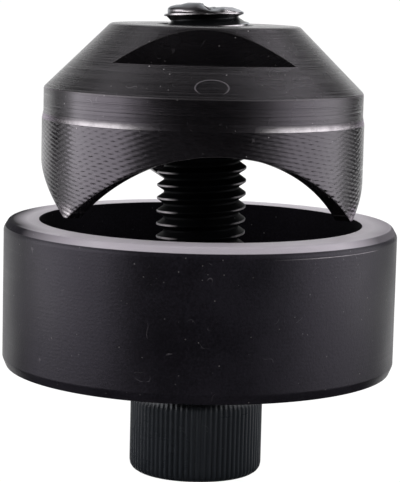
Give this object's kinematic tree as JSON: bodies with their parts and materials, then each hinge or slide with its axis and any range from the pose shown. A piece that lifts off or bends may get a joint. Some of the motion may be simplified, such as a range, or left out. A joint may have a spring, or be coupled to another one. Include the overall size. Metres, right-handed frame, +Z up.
{
  "type": "knockout punch",
  "caption": "Hand-drawn knockout punch: three-point arched punch, ring die and knurled hex-socket draw screw with thrust washer, for cutting round holes in sheet metal.",
  "frame": {"origin": "centre of the end face of the draw screw's head, on the surface that the tool stands on", "axes": "+Z up along the draw screw, from its head to the punch; -Y towards one wrench flat, the pictured side"},
  "size_m": [0.053, 0.053, 0.0635],
  "materials": {
    "screw_steel": "black oxide, knurled and threaded",
    "washer_steel": "black oxide, ground flat",
    "die_steel": "black oxide, satin turned",
    "punch_steel": "black oxide, fine turning marks"
  },
  "bodies": {
    "die": {"die": "die_steel"},
    "screw": {"draw_screw": "screw_steel", "thrust_washer": "washer_steel"},
    "punch": {"punch": "punch_steel"}
  },
  "joints": [
    {"name": "screw_turn", "type": "hinge", "parent": "die", "child": "screw", "pos_m": [0, 0, 0.0145], "axis": [0, 0, 1], "range_deg": [-2900, 2900]},
    {"name": "punch_draw", "type": "slide", "parent": "die", "child": "punch", "axis": [0, 0, 1], "range_m": [-0.014, 0.014]}
  ],
  "couplings": [
    {"joint": "screw_turn", "follows": "punch_draw", "rad_per_m": -3590.4}
  ]
}
